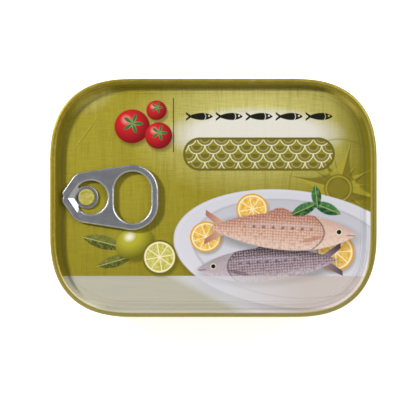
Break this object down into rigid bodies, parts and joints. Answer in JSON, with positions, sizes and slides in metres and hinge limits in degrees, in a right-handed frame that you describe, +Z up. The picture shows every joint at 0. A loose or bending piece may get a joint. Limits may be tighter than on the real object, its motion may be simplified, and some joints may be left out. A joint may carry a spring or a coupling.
{
  "type": "sardine tin",
  "caption": "Shut flat oblong food tin with rounded corners: a drawn body, a seamed lid with a sunk panel printed with fish and fruit, and a riveted ring pull that opens it.",
  "frame": {"origin": "middle of the base, on the surface that the tin stands on", "axes": "+X along the tin's length with the ring pull towards -X, +Y across it, +Z up through the lid"},
  "size_m": [0.1054, 0.077, 0.022],
  "materials": {
    "body_lacquer": "olive gold lacquer over tinplate, satin",
    "lid_print": "printed and varnished sheet metal, olive ground with coloured fields, satin",
    "pull_metal": "bare rolled aluminium, bright on the curled edges"
  },
  "bodies": {
    "root": {"can_body": "body_lacquer", "lid": "lid_print", "ring_pull": "pull_metal"}
  },
  "joints": []
}
